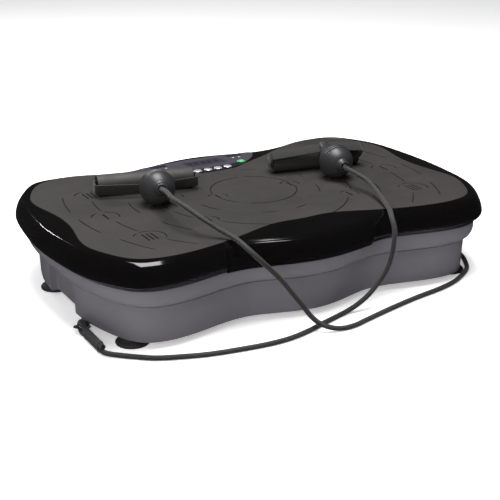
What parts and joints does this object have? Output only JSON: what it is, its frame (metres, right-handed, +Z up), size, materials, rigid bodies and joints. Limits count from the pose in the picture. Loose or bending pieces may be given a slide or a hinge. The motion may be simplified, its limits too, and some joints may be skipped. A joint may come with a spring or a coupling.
{
  "type": "vibration plate",
  "caption": "Side-to-side rocking vibration plate: hourglass cover and mat on a grey tub, drive inside, pull bands with ball handles",
  "frame": {"origin": "on the floor under the middle of the plate", "axes": "+X along the plate's length to the user's right, -Y to the long side the bands hang over, +Y to the control panel, +Z up"},
  "size_m": [0.65, 0.4579, 0.174],
  "materials": {
    "gloss_black": "polished moulded plastic",
    "base_grey": "satin moulded plastic",
    "mat_rubber": "matte rubber",
    "foot_rubber": "matte rubber",
    "panel_grey": "gloss overlay",
    "display_black": "gloss window",
    "silver_plastic": "silver painted plastic",
    "green_plastic": "green plastic",
    "webbing": "woven webbing",
    "band_sheath": "braided sheath over elastic core",
    "grip_foam": "matte grip sleeve",
    "ball_plastic": "satin plastic",
    "chrome": "bright plated",
    "clamp_grey": "grey clamp sleeve",
    "zinc_steel": "zinc plated",
    "painted_steel": "black paint",
    "belt_rubber": "belt rubber",
    "board_green": "circuit board",
    "inlet_black": "moulded plastic"
  },
  "bodies": {
    "base": {"base_tub": "base_grey", "foot_front_left": "foot_rubber", "foot_front_right": "foot_rubber", "foot_back_left": "foot_rubber", "foot_back_right": "foot_rubber", "socket_plate": "inlet_black", "power_inlet": "inlet_black", "chassis_plate": "zinc_steel", "pivot_shaft": "zinc_steel", "pivot_block_front": "painted_steel", "pivot_block_back": "painted_steel", "pillow_block_front": "painted_steel", "pillow_block_back": "painted_steel", "motor": "painted_steel", "motor_bracket": "zinc_steel", "drive_belt": "belt_rubber", "buffer_1": "foot_rubber", "buffer_2": "foot_rubber", "buffer_3": "foot_rubber", "buffer_4": "foot_rubber", "control_board": "board_green", "band_tab_left": "webbing", "band_tab_right": "webbing", "band_ring_left": "chrome", "band_ring_right": "chrome", "band_sleeve_left": "clamp_grey", "band_sleeve_right": "clamp_grey"},
    "platform": {"cover": "gloss_black", "front_apron": "gloss_black", "tread_mat": "mat_rubber", "control_panel": "panel_grey", "display_window": "display_black", "display_board": "board_green", "platform_frame": "painted_steel", "drive_yoke": "zinc_steel", "yoke_screw_inner": "zinc_steel", "yoke_screw_outer": "zinc_steel", "band_left": "band_sheath", "band_right": "band_sheath"},
    "mode_key_1": {"mode_button_1": "silver_plastic"},
    "mode_key_2": {"mode_button_2": "silver_plastic"},
    "mode_key_3": {"mode_button_3": "silver_plastic"},
    "mode_key_4": {"mode_button_4": "silver_plastic"},
    "mode_key_5": {"mode_button_5": "silver_plastic"},
    "mode_key_6": {"mode_button_6": "silver_plastic"},
    "power_key": {"power_button": "green_plastic"},
    "crank": {"crankshaft": "zinc_steel", "crank_pulley": "painted_steel"},
    "motor_rotor": {"motor_pulley": "zinc_steel"},
    "switch_rocker": {"power_switch": "inlet_black"},
    "left_handle": {"left_strap": "webbing", "left_ball_front": "ball_plastic", "left_ball_back": "ball_plastic"},
    "left_grip_tube": {"left_grip": "grip_foam"},
    "right_handle": {"right_strap": "webbing", "right_ball_front": "ball_plastic", "right_ball_back": "ball_plastic"},
    "right_grip_tube": {"right_grip": "grip_foam"}
  },
  "joints": [
    {"name": "platform_rock", "type": "hinge", "parent": "base", "child": "platform", "pos_m": [0, 0, 0.072], "axis": [0, 1, 0], "range_deg": [-0.5, 0.5], "stiffness_Nm_per_rad": 1500},
    {"name": "mode_button_1_press", "type": "slide", "parent": "platform", "child": "mode_key_1", "axis": [0, 0, -1], "range_m": [0, 0.0006], "stiffness_N_per_m": 800},
    {"name": "mode_button_2_press", "type": "slide", "parent": "platform", "child": "mode_key_2", "axis": [0, 0, -1], "range_m": [0, 0.0006], "stiffness_N_per_m": 800},
    {"name": "mode_button_3_press", "type": "slide", "parent": "platform", "child": "mode_key_3", "axis": [0, 0, -1], "range_m": [0, 0.0006], "stiffness_N_per_m": 800},
    {"name": "mode_button_4_press", "type": "slide", "parent": "platform", "child": "mode_key_4", "axis": [0, 0, -1], "range_m": [0, 0.0006], "stiffness_N_per_m": 800},
    {"name": "mode_button_5_press", "type": "slide", "parent": "platform", "child": "mode_key_5", "axis": [0, 0, -1], "range_m": [0, 0.0006], "stiffness_N_per_m": 800},
    {"name": "mode_button_6_press", "type": "slide", "parent": "platform", "child": "mode_key_6", "axis": [0, 0, -1], "range_m": [0, 0.0006], "stiffness_N_per_m": 800},
    {"name": "power_button_press", "type": "slide", "parent": "platform", "child": "power_key", "axis": [0, 0, -1], "range_m": [0, 0.0006], "stiffness_N_per_m": 800},
    {"name": "crank_spin", "type": "hinge", "parent": "base", "child": "crank", "pos_m": [0.16, 0, 0.052], "axis": [0, 1, 0], "continuous": true},
    {"name": "motor_spin", "type": "hinge", "parent": "base", "child": "motor_rotor", "pos_m": [0.075, 0, 0.052], "axis": [0, 1, 0], "continuous": true},
    {"name": "power_switch_rock", "type": "hinge", "parent": "base", "child": "switch_rocker", "pos_m": [0.0165, 0.1768, 0.035], "axis": [1, 0, 0], "range_deg": [0, 14]},
    {"name": "left_handle_lift", "type": "slide", "parent": "platform", "child": "left_handle", "axis": [0, 0, 1], "range_m": [0, 0.3], "deforming": ["band_left"]},
    {"name": "left_grip_spin", "type": "hinge", "parent": "left_handle", "child": "left_grip_tube", "pos_m": [-0.134, 0.068, 0.1386], "axis": [0.9781, -0.2079, 0], "continuous": true},
    {"name": "right_handle_lift", "type": "slide", "parent": "platform", "child": "right_handle", "axis": [0, 0, 1], "range_m": [0, 0.3], "deforming": ["band_right"]},
    {"name": "right_grip_spin", "type": "hinge", "parent": "right_handle", "child": "right_grip_tube", "pos_m": [0.136, 0.044, 0.1386], "axis": [0.9877, -0.1564, 0], "continuous": true}
  ],
  "couplings": [
    {"joint": "motor_spin", "follows": "crank_spin", "ratio": 2.8889}
  ]
}
